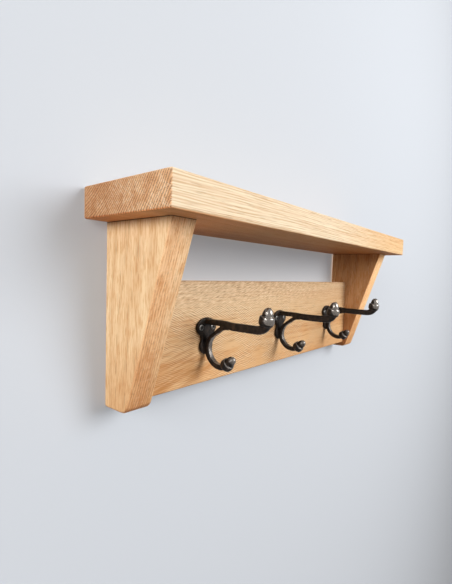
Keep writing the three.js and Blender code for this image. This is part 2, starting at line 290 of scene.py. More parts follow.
def open_pores(graph, grain, early, end):
    """Long thin vessels: dots on an end and dashes on a face, most of them in the early wood."""
    cells = graph.cells(grain, (0.57, 0.57, 0.045))
    size = graph.linear(early, 0.22, graph.linear(end, 0.1, 0.08))
    return graph.ramp(graph.minus(cells, size), 0.12, -0.06)


def pith_rays(graph, grain, radius, board_radius):
    """Thin plates that run from the pith to the bark: lines on an end and flecks on a face."""
    across, side, along = graph.split(grain)
    angle = graph.math("ARCTAN2", side, across)
    cells = graph.cells(graph.join(angle, radius, along), (board_radius / RAY_SPACING, 0.04, 0.08))
    return graph.ramp(cells, 0.34, 0.12)


def oak_tone(graph, bent, fibre, early, banding):
    """From 0 where the wood is pale to 1 where it is deep: wide bands, fine fibres and growth rings."""
    band = graph.noise(bent, (0.085, 0.085, 0.0025), 1.0)
    tone = graph.plus(graph.centred(band, banding, 0.3), graph.centred(fibre, banding))
    return graph.plus(tone, graph.centred(early, 0.25), clamp=True)


def oak(name, turn, pith, pale, deep, marks, banding=1.8, dashes=0.36):
    """Oiled oak. The banding is how much its tone varies, and the dashes are how strongly the pores show on
    a face. The marks, which hold the painted shade and light of some boards, change the colour further, and
    are given the graph, the place and the colour."""
    material, graph = new_material(name)
    coordinates = graph.node("TexCoord")
    end = end_share(graph, coordinates, turn)
    bent, grain = bent_grain(graph, log_space(graph, coordinates, turn, pith))
    across, side, _ = graph.split(grain)
    radius = graph.vector("LENGTH", graph.join(across, side, 0.0), result=1)
    early = early_wood(graph, radius)
    pore = open_pores(graph, grain, early, end)
    ray = pith_rays(graph, grain, radius, math.hypot(*pith))
    fibre = graph.noise(grain, (0.6, 0.6, 0.04), 3.0, 0.7)
    tone = oak_tone(graph, bent, fibre, early, banding)

    gleam = [(1 - RAY_GLEAM) * part + RAY_GLEAM for part in pale]
    shade = [PORE_SHADE * part for part in deep]
    in_ray = graph.times(ray, graph.linear(end, 0.4, 0.1))
    in_rings = graph.times(graph.times(early, end), RINGS_ON_END)
    in_pores = graph.times(pore, graph.linear(end, PORES_ON_END - dashes, dashes))
    colour = graph.tint(end, graph.mix(tone, pale, deep), END_TINT)
    colour = graph.mix(in_ray, colour, gleam)
    colour = graph.mix(graph.math("MAXIMUM", in_rings, in_pores), colour, shade)
    colour = marks(graph, millimetres(graph), colour)

    rough = graph.linear(pore, 0.2, graph.linear(fibre, 0.2, 0.5))
    height = graph.minus(graph.times(fibre, 0.6), pore)
    graph.surface(Base_Color=colour, Roughness=rough, Specular_IOR_Level=0.2,
                  Normal=graph.bump(height, 0.1))
    return material


# Marks of each board, with painted shade and light on some, over its oak. Places are in millimetres, in the
# rack's own axes.

RISING = -14
FALLING = 24
BRACKET_DEPTH = 55.0
BRACKET_SLOPE = 60 / 176


def turned_down(graph, place, degrees):
    """The place in axes that are turned about Y, so that lines along X fall to the right by the angle."""
    node = graph.node("VectorRotate", rotation_type="Y_AXIS")
    graph.plug(node.inputs["Vector"], place)
    node.inputs["Angle"].default_value = -math.radians(degrees)
    return node.outputs[0]


def parallel_lines(graph, across, spacing, wander):
    """A wave from -1 to 1 across the lines. They wander by so many radians."""
    return graph.math("SINE", graph.linear(across, 2 * math.pi / spacing, wander))


def figured(graph, colour, figure, dark, dark_share, light, light_share):
    """The colour, darker where the figure is above zero and lighter where it is below."""
    colour = graph.mix(graph.times(figure, dark_share, clamp=True), colour, dark)
    return graph.mix(graph.times(figure, -light_share, clamp=True), colour, light)


def rail_ripple(graph, place, corner):
    """Ripples in the rail's grain: short and rising a little to the right along the top, regular and
    falling to the right below. They are plainer at the right and in the darker corner."""
    x, _, z = graph.split(place)
    falling = turned_down(graph, place, FALLING)
    wander = graph.times(graph.noise(falling, (0.035, 0.03, 0.09), 2.0), 13.0)
    lines = parallel_lines(graph, graph.split(falling)[2], 2.2, wander)
    patches = graph.ramp(graph.noise(place, (0.03, 0.1, 0.06), 1.0), 0.3, 0.6)
    broken = graph.ramp(graph.noise(falling, (0.1, 0.1, 0.3), 1.0), 0.35, 0.6, 0.35, 1.0)
    regular = graph.times(lines, graph.times(patches, broken))
    short = graph.centred(graph.noise(turned_down(graph, place, RISING), (0.1, 0.1, 0.75), 2.0, 0.6), 5.0)
    lower = graph.ramp(z, 42.0, 18.0, 0.0, 1.1)
    upper = graph.ramp(z, 18.0, 42.0)
    ripple = graph.plus(graph.times(regular, lower), graph.times(short, upper))
    plainer_right = graph.ramp(x, -20.0, 220.0, 1.0, 0.4)
    plainer_corner = graph.ramp(corner, 0.0, 1.0, 1.0, 0.45)
    return graph.times(ripple, graph.times(plainer_right, plainer_corner))


def rail_marks(graph, place, colour):
    """Darker bands that rise from the lower left corner, greyer towards the top and warmer towards the
    foot, and the ripples over them."""
    x, _, z = graph.split(place)
    corner = graph.times(graph.ramp(z, 15.0, -40.0), graph.ramp(x, -80.0, -190.0))
    bands = graph.noise(turned_down(graph, place, RISING), (0.01, 0.1, 0.2), 3.0, 0.75)
    in_bands = graph.times(graph.centred(bands, 5.0, 0.435), corner, clamp=True)
    towards_top = graph.ramp(z, -10.0, 60.0, 0.0, 0.35)
    towards_foot = graph.ramp(z, 20.0, -55.0, 0.0, 0.4)
    towards_right = graph.ramp(x, -180.0, 180.0)
    colour = graph.mix(in_bands, colour, (0.40, 0.17, 0.055))
    colour = graph.mix(towards_top, colour, (0.68, 0.58, 0.43))
    colour = graph.mix(towards_foot, colour, (0.66, 0.31, 0.10))
    colour = graph.tint(towards_right, colour, (0.92, 0.87, 0.81))
    ripple = rail_ripple(graph, place, corner)
    return figured(graph, colour, ripple, dark=(0.26, 0.13, 0.055), dark_share=0.6,
                   light=(0.95, 0.78, 0.54), light_share=0.5)


def shelf_lines(graph, place, on_end):
    """Thin lines along the shelf, loose ones and regular ones. The regular ones keep off its end."""
    _, y, z = graph.split(place)
    wander = graph.times(graph.noise(place, (0.006, 0.03, 0.08), 1.0), 18.0)
    lines = parallel_lines(graph, graph.plus(y, z), 2.2, wander)
    broken = graph.ramp(graph.noise(place, (0.03, 0.3, 0.3), 1.0), 0.35, 0.6, 0.1, 0.9)
    regular = graph.times(lines, graph.times(broken, graph.minus(1.0, on_end)))
    loose = graph.noise(place, (0.009, 0.3, 0.3), 3.0, 0.8)
    return graph.plus(regular, graph.centred(loose, 3.6))


def shelf_marks_and_shade(graph, place, colour):
    """The lines, darker blocks on the left end, painted shade towards the back by the wall, redder towards
    the right, and painted shade underneath, lightened at the left end as painted light."""
    left_end, underside = box_of("shelf")[0].x, box_of("shelf")[0].z
    x, y, z = graph.split(place)
    on_end = graph.ramp(x, left_end + 1.0, left_end + 0.2)
    line = shelf_lines(graph, place, on_end)
    colour = figured(graph, colour, line, dark=(0.50, 0.30, 0.14), dark_share=0.6,
                     light=(0.84, 0.74, 0.56), light_share=0.6)
    blocks = graph.ramp(graph.noise(place, (0.0, 0.07, 0.03), 2.0, 0.6), 0.42, 0.6)
    shade_towards_wall = graph.ramp(y, -105.0, -15.0)
    towards_right = graph.ramp(x, -60.0, 260.0)
    colour = graph.tint(graph.times(on_end, blocks), colour, (0.87, 0.78, 0.70))
    # Painted shade: darker and redder towards the back, by the wall.
    colour = graph.tint(shade_towards_wall, colour, (0.8, 0.7, 0.63))
    colour = graph.tint(towards_right, colour, (0.98, 0.80, 0.60))
    # Painted shade on the underside, with painted light at its left end.
    from_left = graph.ramp(x, -290.0, -100.0)
    underside_shade_and_light = graph.tint(1.0, colour, graph.mix(from_left, (1.32, 0.84, 0.54), (0.74, 0.50, 0.32)))
    return graph.mix(graph.ramp(z, underside + 1.4, underside + 0.4), colour, underside_shade_and_light)


def between_sides(graph, x, node):
    """One on a bracket's front and back, and zero on its two sides."""
    left, right = [corner.x for corner in box_of(node)]
    off_left = graph.ramp(x, left + 0.1, left + 0.7)
    off_right = graph.ramp(x, right - 0.1, right - 0.7)
    return graph.times(off_left, off_right)


def bracket_figure(graph, place, inner):
    """Flames that lean with the front edge, and thin streaks up the board."""
    x, y, z = graph.split(place)
    depth = graph.linear(z, BRACKET_SLOPE, BRACKET_DEPTH)
    share_of_depth = graph.math("DIVIDE", y, depth)
    flame = graph.noise(graph.join(x, share_of_depth, z), (0.02, 6.0, 0.005), 1.0, 0.6)
    fineness = graph.join(graph.times(inner, 0.6), graph.linear(inner, -0.75, 0.75), 0.06)
    streak = graph.noise(place, fineness, 2.0, 0.65)
    return graph.plus(graph.centred(flame, 0.8), graph.ramp(streak, 0.5, 0.4, -0.35, 1.2))


def bracket_marks_and_shade(graph, place, colour, node="left_bracket"):
    """The figure, deeper wood in front, darker towards the toe, and a painted shadow line in the joint on
    top. A strip along the right of the front stays pale."""
    left, top = box_of(node)[0].x, box_of(node)[1].z
    x, _, z = graph.split(place)
    inner = between_sides(graph, x, node)
    figure = bracket_figure(graph, place, inner)
    colour = figured(graph, colour, figure, dark=(0.58, 0.29, 0.12), dark_share=0.45,
                     light=(0.92, 0.74, 0.50), light_share=0.55)
    towards_toe = graph.ramp(z, 20.0, -60.0)
    colour = graph.tint(towards_toe, colour, (0.89, 0.80, 0.72))
    pale_strip = graph.ramp(x, left + 17.0, left + 20.0, 0.0, 0.16)
    deeper = graph.minus(graph.ramp(z, 60.0, -70.0, 0.26, 0.16), pale_strip)
    colour = graph.tint(graph.times(inner, deeper), colour, (1.02, 0.67, 0.46))
    # Painted shadow in the joint below the shelf.
    joint_shadow = graph.ramp(z, top - 1.0, top - 0.2, 0.0, 0.85)
    return graph.mix(joint_shadow, colour, (0.10, 0.05, 0.025))


def far_bracket_marks_and_shade(graph, place, colour):
    """As on the near bracket, but with painted light on its front and back, painted shade on its sides, and
    darker towards the toe.
    """
    x, _, z = graph.split(place)
    colour = bracket_marks_and_shade(graph, place, colour, "right_bracket")
    inner = between_sides(graph, x, "right_bracket")
    towards_toe = graph.ramp(z, 40.0, -50.0)
    colour = graph.tint(towards_toe, colour, (0.87, 0.80, 0.72))
    # Painted light on the front and back.
    colour = graph.tint(inner, colour, (1.5, 1.7, 1.8))
    # Painted shade on the sides.
    return graph.tint(graph.minus(1.0, inner), colour, (0.84, 0.72, 0.62))


# Beech and metals

def beech(name):
    """Turned dowels, with short dark flecks along the grain."""
    material, graph = new_material(name)
    place = millimetres(graph)
    fleck = graph.ramp(graph.cells(place, (0.9, 0.9, 0.3)), 0.25, 0.1, 0.0, 0.4)
    fibre = graph.noise(place, (1.2, 1.2, 0.4), 3.0)
    colour = graph.mix(fibre, (0.62, 0.44, 0.27), (0.50, 0.33, 0.19))
    colour = graph.mix(fleck, colour, (0.30, 0.17, 0.08))
    rough = graph.linear(fibre, 0.2, 0.55)
    graph.surface(Base_Color=colour, Roughness=rough, Normal=graph.bump(fibre, 0.05))
    return material


def cast_iron(name):
    """Black iron, rough from the mould, and rubbed bright where its mesh says that it is worn."""
    material, graph = new_material(name)
    chance = graph.node("ObjectInfo").outputs["Random"]
    shift = graph.vector("MULTIPLY", graph.join(chance, chance, chance), (90.0, 40.0, 60.0))
    place = graph.vector("ADD", millimetres(graph), shift)
    worn = graph.node("Attribute", attribute_name="wear").outputs["Fac"]
    mottle = graph.noise(place, (0.22,) * 3, 3.0, 0.6)
    skin = graph.noise(place, (0.9,) * 3, 3.0, 0.6)
    rubbed = graph.ramp(graph.linear(mottle, 0.6, worn), 0.58, 1.1)
    coat = graph.mix(graph.ramp(mottle, 0.35, 0.7), (0.004, 0.0033, 0.0028), (0.028, 0.017, 0.011))
    colour = graph.mix(rubbed, coat, (0.29, 0.265, 0.24))
    rough = graph.minus(graph.linear(skin, 0.24, 0.32), graph.times(rubbed, 0.25))
    height = graph.times(graph.linear(mottle, 1.4, skin), graph.linear(rubbed, -0.7, 1.0))
    graph.surface(Base_Color=colour, Metallic=graph.times(rubbed, 0.9), Roughness=rough,
                  Specular_IOR_Level=0.17, Normal=graph.bump(height, 0.16))
    return material


def black_screw(name):
    """Black screws, with the coat rubbed off round the rim of the head; that bright ring is also a painted
    highlight.
    """
    material, graph = new_material(name)
    place = millimetres(graph)
    x, _, z = graph.split(place)
    from_axis = graph.math("SQRT", graph.plus(graph.times(x, x), graph.times(z, z)))
    grime = graph.noise(place, (0.8,) * 3, 3.0)
    # The bright rim ring is worn metal and also a painted highlight.
    rim = graph.times(graph.ramp(from_axis, 1.8, 3.1), graph.ramp(grime, 0.35, 0.65))
    colour = graph.mix(rim, (0.016, 0.014, 0.012), (0.38, 0.37, 0.35))
    graph.surface(Base_Color=colour, Metallic=graph.linear(rim, 0.7, 0.2),
                  Roughness=graph.linear(grime, 0.3, 0.22), Normal=graph.bump(grime, 0.04))
    return material


def zinc_plate(name):
    """Zinc on pressed steel, with the fine lines that the rolling left and a pale bloom."""
    material, graph = new_material(name)
    place = millimetres(graph)
    lines = graph.noise(place, (9.0, 9.0, 0.25), 2.0)
    bloom = graph.noise(place, (0.3,) * 3, 3.0)
    colour = graph.mix(bloom, (0.46, 0.48, 0.50), (0.62, 0.63, 0.62))
    rough = graph.linear(lines, 0.15, graph.linear(bloom, 0.25, 0.2))
    graph.surface(Base_Color=colour, Metallic=0.95, Roughness=rough, Normal=graph.bump(lines, 0.02))
    return material


# Meshes. Sizes are in millimetres until a mesh is made.

ROUND_SIDES = 48


def object_from(name, vertices, faces):
    mesh = bpy.data.meshes.new(name)
    mesh.from_pydata([Vector(v) * MM for v in vertices], [], faces)
    piece = bpy.data.objects.new(name, mesh)
    bpy.context.scene.collection.objects.link(piece)
    return piece


def loft(name, rings):
    """A closed skin over rings of equal length, with a flat cap at both ends."""
    count = len(rings[0])
    vertices = [point for ring in rings for point in ring]
    faces = [list(range(count))[::-1], [len(vertices) - count + k for k in range(count)]]
    for level in range(len(rings) - 1):
        for k in range(count):
            low, high = level * count, (level + 1) * count
            after = (k + 1) % count
            faces.append([low + k, low + after, high + after, high + k])
    return object_from(name, vertices, faces)


def turned(name, profile):
    """A round piece about Z from a profile of radius and height. The profile's ends lie on the axis."""
    angles = [2 * math.pi * k / ROUND_SIDES for k in range(ROUND_SIDES)]
    rings = []
    for radius, height in profile[1:-1]:
        rings.append([(radius * math.cos(a), radius * math.sin(a), height) for a in angles])
    return loft(name, rings)


def mesh_of(piece):
    """The piece's mesh with its modifiers."""
    depsgraph = bpy.context.evaluated_depsgraph_get()
    return bpy.data.meshes.new_from_object(piece.evaluated_get(depsgraph))


def join(pieces):
    """One object that holds the meshes of all the pieces."""
    whole = bmesh.new()
    for piece in pieces:
        mesh = piece.data.copy()
        mesh.transform(piece.matrix_world)
        whole.from_mesh(mesh)
    mesh = bpy.data.meshes.new(pieces[0].name)
    whole.to_mesh(mesh)
    whole.free()
    for piece in pieces:
        bpy.data.objects.remove(piece)
    joined = bpy.data.objects.new(mesh.name, mesh)
    bpy.context.scene.collection.objects.link(joined)
    return joined


def cut(piece, cutters):
    """Takes the cutters out of the piece, and deletes them."""
    for cutter in cutters:
        modifier = piece.modifiers.new("cut", "BOOLEAN")
        modifier.operation = "DIFFERENCE"
        modifier.solver = "EXACT"
        modifier.object = cutter
    bpy.context.view_layer.update()
    mesh = mesh_of(piece)
    piece.modifiers.clear()
    piece.data = mesh
    for cutter in cutters:
        bpy.data.objects.remove(cutter)


def smooth_edges(piece):
    """Shades the rounded edges as round and the faces between them as flat."""
    piece.data.shade_smooth()
    weld = piece.modifiers.new("weld", "WELD")
    weld.merge_threshold = 0.001 * MM
    normals = piece.modifiers.new("normals", "WEIGHTED_NORMAL")
    normals.weight = 100
    normals.keep_sharp = False


# Curves in a plane

def polar(radius, angle, centre=(0, 0)):
    return Vector((centre[0] + radius * math.cos(angle), centre[1] + radius * math.sin(angle)))


def bezier(points, steps):
    """Points along a Bezier curve with two to four control points, the last one left out."""
    places = []
    for k in range(steps):
        level = [Vector(p) for p in points]
        while len(level) > 1:
            level = [a.lerp(b, k / steps) for a, b in zip(level, level[1:])]
        places.append(level[0])
    return places


def smoothstep(value, low, high):
    t = min(max((value - low) / (high - low), 0), 1)
    return t * t * (3 - 2 * t)


# Hook casting. In its plane, the first number runs out from the rail and the second up from the screws.

PLATE = 3.5
PLATE_EDGE = 1.0
HEAD_WIDTH, HEAD_HEIGHT, HEAD_END = 16.2, 11.3, math.radians(42)
WAIST = 17.0
TAIL_RADIUS, TAIL_DROP, TAIL_START = 10.4, 21.8, math.radians(23)
STRAP = 8.0
ARM_REACH, ARM_RISE, ARM_HEIGHT = 74.0, 4.4, 8.8
ROOT_REACH, ROOT_RISE, ROOT_HEIGHT = 20.0, 6.7, 6.4
BEND_RADIUS, BEND_ANGLE = 14.0, math.radians(50)
NECK_HEIGHT = 10.4
ARM_ROUNDING, NECK_ROUNDING, CROOK_ROUNDING = 2.0, 3.6, 2.2
CROOK_RADIUS, CROOK_THICKNESS, CROOK_REACH, CROOK_DROP = 17.0, 6.4, 26.2, 23.4
CROOK_START, CROOK_END = math.radians(125), math.radians(284)
BRACE_REACH, BRACE_THICKNESS = 36.0, 5.0
UPPER_TILT, LOWER_TILT = math.radians(80), math.radians(42)
UPPER_ACORN = {"cup": 8.3, "cup_length": 10.8, "nut": 5.9, "nut_length": 9.4}
LOWER_ACORN = {"cup": 7.6, "cup_length": 9.2, "nut": 5.5, "nut_length": 9.6}
NUT_COLLAR = 1.3
SCREW_SPACING = 20.0
SCREW_HEAD, SCREW_DOME, SCREW_SHANK, SCREW_LENGTH = 3.6, 1.3, 2.0, 24.0
SCREW_FIT = 0.3
TIP = 0.05


def rounded_section(width, height, radius, lift=0):
    """A rounded rectangle, as offsets along X and up from the line. Its middle is lifted off the line."""
    steps = 5
    corners = []
    for quarter in range(4):
        middle = Vector((width / 2 - radius, height / 2 - radius))
        middle.x *= (1, -1, -1, 1)[quarter]
        middle.y *= (1, 1, -1, -1)[quarter]
        middle.y += lift
        for k in range(steps + 1):
            corners.append(polar(radius, (quarter + k / steps) * math.pi / 2, middle))
    return corners


def swept(name, line, section_at):
    """A bar along a line in the hook's plane. Its section may change from point to point."""
    rings = []
    for index, here in enumerate(line):
        before, after = line[max(index - 1, 0)], line[min(index + 1, len(line) - 1)]
        ahead = (after - before).normalized()
        above = Vector((-ahead.y, ahead.x))
        ring = []
        for along_x, up in section_at(here):
            place = here + above * up
            ring.append((along_x, -place.x, place.y))
        rings.append(ring)
    return loft(name, rings)


def arm_end():
    """Where the upward bend of the arm ends, and its acorn starts."""
    return Vector((ARM_REACH + BEND_RADIUS * math.sin(BEND_ANGLE),
                   ARM_RISE + BEND_RADIUS * (1 - math.cos(BEND_ANGLE))))


def arm_line():
    """The middle of the arm: out of the plate, down a little, straight on and up into the acorn."""
    slope = (ARM_REACH - ROOT_REACH) / 4
    bend_corner = (ARM_REACH + BEND_RADIUS * math.tan(BEND_ANGLE / 2), ARM_RISE)
    line = [Vector((PLATE_EDGE, ROOT_RISE)), Vector((ROOT_REACH / 2, ROOT_RISE))]
    line += bezier([(ROOT_REACH, ROOT_RISE), (ROOT_REACH + slope, ROOT_RISE),
                    (ROOT_REACH + slope, ARM_RISE), (ROOT_REACH + 2 * slope, ARM_RISE)], 14)
    line += bezier([(ROOT_REACH + 2 * slope, ARM_RISE), (ARM_REACH, ARM_RISE)], 8)
    line += bezier([(ARM_REACH, ARM_RISE), bend_corner, arm_end()], 14)
    return line + [arm_end(), polar(UPPER_ACORN["cup_length"] / 2, BEND_ANGLE, arm_end())]


def arm():
    halfway = (ROOT_REACH + ARM_REACH) / 2

    def section_at(here):
        root = smoothstep(here.x, ROOT_REACH, halfway)
        neck = smoothstep(here.x, ARM_REACH, arm_end().x)
        height = ROOT_HEIGHT + root * (ARM_HEIGHT - ROOT_HEIGHT) + neck * (NECK_HEIGHT - ARM_HEIGHT)
        return rounded_section(STRAP, height, ARM_ROUNDING + neck * (NECK_ROUNDING - ARM_ROUNDING))

    return swept("hook_arm", arm_line(), section_at)


def crook_point(radius, angle):
    return polar(radius, angle, (CROOK_REACH, -CROOK_DROP))


def crook():
    """The brace and the crook. The line is the inside of the bend, and the strap lies outside it."""
    start = crook_point(CROOK_RADIUS, CROOK_START)
    handle = (BRACE_REACH - start.x) / 2
    underside = ARM_RISE - ARM_HEIGHT / 2
    line = bezier([(BRACE_REACH, underside), (BRACE_REACH - handle, underside),
                   polar(handle, CROOK_START - math.pi / 2, start), start], 16)
    turns = 44
    for k in range(turns + 1):
        line.append(crook_point(CROOK_RADIUS, CROOK_START + (CROOK_END - CROOK_START) * k / turns))

    def section_at(here):
        brace = smoothstep(here.y, -CROOK_DROP, start.y)
        thickness = CROOK_THICKNESS + brace * (BRACE_THICKNESS - CROOK_THICKNESS)
        return rounded_section(STRAP, thickness, CROOK_ROUNDING, -thickness / 2)

    return swept("hook_crook", line, section_at)


def plate_outline():
    """The back plate's outline: a wide head, a waist and a round tail."""
    head = Vector((HEAD_WIDTH * math.cos(HEAD_END), -HEAD_HEIGHT * math.sin(HEAD_END)))
    tail = polar(TAIL_RADIUS, TAIL_START, (0, -TAIL_DROP))
    waist = Vector((WAIST - (head.x + tail.x) / 2, (head.y + tail.y) / 2))
    head_steps, waist_steps, tail_steps = 48, 10, 32
    points = []
    for k in range(head_steps):
        angle = -HEAD_END + (math.pi + 2 * HEAD_END) * k / head_steps
        points.append(Vector((HEAD_WIDTH * math.cos(angle), HEAD_HEIGHT * math.sin(angle))))
    points += bezier([(-head.x, head.y), (-waist.x, waist.y), (-tail.x, tail.y)], waist_steps)
    for k in range(tail_steps):
        angle = math.pi - TAIL_START + (math.pi + 2 * TAIL_START) * k / tail_steps
        points.append(polar(TAIL_RADIUS, angle, (0, -TAIL_DROP)))
    return points + bezier([tail, waist, head], waist_steps)


def plate():
    """The back plate, with its edges rounded in front and behind."""
    outline = plate_outline()
    inward = []
    for index, here in enumerate(outline):
        along = (outline[(index + 1) % len(outline)] - outline[index - 1]).normalized()
        inward.append(Vector((-along.y, along.x)))
    steps = 5
    levels = []
    for k in range(steps + 1):
        angle = math.pi / 2 * k / steps
        levels.append((PLATE_EDGE * (1 - math.sin(angle)), PLATE_EDGE * (1 - math.cos(angle))))
    levels += [(inset, PLATE - out) for inset, out in reversed(levels)]
    rings = []
    for inset, out in levels:
        rings.append([(p.x + n.x * inset, -out, p.y + n.y * inset) for p, n in zip(outline, inward)])
    return loft("hook_plate", rings)


def countersink(x):
    """The cutter for a screw's hole: wide in front for the head, and narrow behind."""
    shank, head = SCREW_SHANK + SCREW_FIT, SCREW_HEAD + SCREW_FIT
    behind, front = -1.0, PLATE + 1.0
    cone = PLATE - (head - shank)
    profile = [(0, behind), (shank, behind), (shank, cone), (head, PLATE), (head, front), (0, front)]
    cutter = turned("countersink", profile)
    turn = Matrix.Rotation(math.pi / 2, 4, "X")
    cutter.matrix_world = Matrix.Translation(Vector((x * MM, 0, 0))) @ turn
    return cutter


def acorn(name, shape, tilt, base):
    """A rounded cup with a nut standing in it, its back at the base and its top out and up by the tilt."""
    cup, length, nut, rise = shape["cup"], shape["cup_length"], shape["nut"], shape["nut_length"]
    rim = (cup + nut) / 2
    profile = [Vector((0, 0))]
    profile += bezier([(cup / 2, 0), (cup, 0), (cup, length / 2)], 12)
    profile += bezier([(cup, length / 2), (cup, length), (rim, length)], 12)
    profile += [Vector((rim, length)), Vector((nut, length))]
    steps = 20
    for k in range(steps + 1):
        angle = math.pi / 2 * k / steps
        height = length + NUT_COLLAR + (rise - NUT_COLLAR) * math.sin(angle)
        profile.append(Vector((nut * math.cos(angle), height)))
    profile[-1].x = TIP
    piece = turned(name, profile + [Vector((0, length + rise))])
    turn = Matrix.Rotation(math.pi / 2 - tilt, 4, "X")
    piece.matrix_world = Matrix.Translation(Vector((0, -base.x, base.y)) * MM) @ turn
    return piece


def lower_base():
    """The end of the crook, where its acorn starts."""
    return crook_point(CROOK_RADIUS + CROOK_THICKNESS / 2, CROOK_END)


# Wear of a casting. Places are in metres and normals are of length one, a row for each point.

LOWER_WEAR, CROOK_WEAR, PLATE_WEAR = 0.6, 0.9, 0.1
EDGE_WEAR, OPEN_EDGE_WEAR, HANDLED_WEAR = 0.35, 0.45, 0.65


def acorn_share(places, shape, tilt, base):
    """One for the points of an acorn and zero for all others, with a short fade at the acorn's back."""
    start, fade, margin = 1.5, 3.0, 1.0
    out, up = -places[:, 1] / MM - base.x, places[:, 2] / MM - base.y
    along = out * math.cos(tilt) + up * math.sin(tilt)
    aside = numpy.hypot(up * math.cos(tilt) - out * math.sin(tilt), places[:, 0] / MM)
    top = shape["cup_length"] + shape["nut_length"] + margin
    near = (along > start) & (along < top) & (aside < shape["cup"] + margin)
    return near * numpy.clip((along - start) / fade, 0, 1)


def inside_crook(places, normals):
    """One for points on the inside of the crook that face its middle, and less where they turn away."""
    margin = 2.0
    out, up = -places[:, 1] / MM, places[:, 2] / MM
    to_middle = numpy.stack([CROOK_REACH - out, -CROOK_DROP - up], 1)
    reach = numpy.linalg.norm(to_middle, axis=1)
    inward = (to_middle[:, 0] * -normals[:, 1] + to_middle[:, 1] * normals[:, 2]) / reach
    inside = (reach < CROOK_RADIUS + margin) & (out > PLATE) & (inward > 0)
    return numpy.where(inside, inward ** 3, 0)


def handled(places, normals):
    """How often coats rub each point: most on the upper acorn and inside the crook, less on the lower
    acorn, and a little on the plate."""
    in_front = numpy.clip(0.3 - 1.1 * normals[:, 1] + 0.6 * normals[:, 2], 0, 1)
    upper = acorn_share(places, UPPER_ACORN, UPPER_TILT, arm_end())
    lower = acorn_share(places, LOWER_ACORN, LOWER_TILT, lower_base())
    rubbed = numpy.maximum(upper, LOWER_WEAR * lower) * in_front
    rubbed = numpy.maximum(rubbed, CROOK_WEAR * inside_crook(places, normals))
    on_plate = (-places[:, 1] / MM < PLATE + 0.3) & (normals[:, 1] < 0)
    return numpy.where(on_plate, PLATE_WEAR, rubbed)


def standing_out(places, normals, around):
    """How sharply the skin is bent outward at each point, evened out over its neighbours. Around holds the
    numbers of each point's neighbours."""
    middles = numpy.array([places[near].mean(0) for near in around])
    reach = numpy.array([numpy.linalg.norm(places[near] - places[k], axis=1).mean()
                         for k, near in enumerate(around)])
    height = ((places - middles) * normals).sum(1) / reach ** 2 * MM
    for _ in range(6):
        height = numpy.array([(height[k] + height[near].sum()) / (1 + len(near))
                              for k, near in enumerate(around)])
    return numpy.clip(height * 3.0, 0, 1)


def mark_wear(mesh):
    """Stores how worn each point is, by how often it is rubbed and how much it stands out. Zero is as
    cast."""
    cast = bmesh.new()
    cast.from_mesh(mesh)
    cast.verts.ensure_lookup_table()
    around = [[edge.other_vert(v).index for edge in v.link_edges] for v in cast.verts]
    places = numpy.array([v.co for v in cast.verts])
    normals = numpy.array([v.normal for v in cast.verts])
    cast.free()
    open_side = numpy.clip(-normals[:, 1] * 0.6 + normals[:, 2] * 0.4, 0, 1)
    edges = standing_out(places, normals, around) * (EDGE_WEAR + OPEN_EDGE_WEAR * open_side)
    wear = edges + HANDLED_WEAR * handled(places, normals)
    layer = mesh.attributes.new("wear", "FLOAT", "POINT")
    layer.data.foreach_set("value", wear.astype(numpy.float32))


# Hooks and their screws

def hook_casting():
    """The whole casting as one skin, with soft corners where its parts run together."""
    back = plate()
    cut(back, [countersink(-SCREW_SPACING / 2), countersink(SCREW_SPACING / 2)])
    whole = join([
        back,
        arm(),
        crook(),
        acorn("upper", UPPER_ACORN, UPPER_TILT, arm_end()),
        acorn("lower", LOWER_ACORN, LOWER_TILT, lower_base()),
    ])
    remesh = whole.modifiers.new("skin", "REMESH")
    remesh.mode = "VOXEL"
    remesh.voxel_size = 0.4 * MM
    soft = whole.modifiers.new("soft", "SMOOTH")
    soft.factor = 0.5
    soft.iterations = 4
    fewer = whole.modifiers.new("fewer", "DECIMATE")
    fewer.ratio = 0.25
    bpy.context.view_layer.update()
    mesh = mesh_of(whole)
    bpy.data.objects.remove(whole)
    mesh.shade_smooth()
    mark_wear(mesh)
    return mesh


def screw_profile():
    """Radius and height of a screw with a point, a countersunk head with a thin rim, and a low dome."""
    head, shank, length = SCREW_HEAD, SCREW_SHANK, SCREW_LENGTH
    point, rim = 0.1, 0.15
    profile = [(0, -length), (point, -length), (shank, 2 * shank - length), (shank, shank - head)]
    profile.append((head - rim, -rim))
    steps = 10
    for k in range(steps):
        angle = math.pi / 2 * k / steps
        profile.append((head * math.cos(angle), SCREW_DOME * math.sin(angle)))
    return profile + [(TIP, SCREW_DOME), (0, SCREW_DOME)]


def cross_blade(turn):
    """One of the two cutters for the cross recess, which taper inward."""
    rings = []
    for depth, width, length in ((2.2, 0.4, 0.8), (0.2, 0.65, 2.0), (-1.0, 0.75, 2.4)):
        corners = [(-length, -width), (length, -width), (length, width), (-length, width)]
        rings.append([(x, y, SCREW_DOME - depth) for x, y in corners])
    blade = loft("blade", rings)
    blade.matrix_world = Matrix.Rotation(turn, 4, "Z")
    return blade


def screw_mesh():
    """A raised countersunk head with a cross recess, and its shank. The head's seat is at Y = 0."""
    body = turned("screw", screw_profile())
    slant = math.radians(20)
    blades = [cross_blade(slant), cross_blade(slant + math.pi / 2)]
    bpy.context.view_layer.update()
    cut(body, blades)
    mesh = body.data
    mesh.transform(Matrix.Rotation(math.pi / 2, 4, "X"))
    mesh.shade_smooth()
    bpy.data.objects.remove(body)
    return mesh


def place_copy(mesh, name, node, place):
    """Puts a copy of the mesh at the place, instead of the node."""
    piece = bpy.data.objects.new(name, mesh)
    piece.location = place
    bpy.context.scene.collection.objects.link(piece)
    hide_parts(node)
    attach(piece, "root")


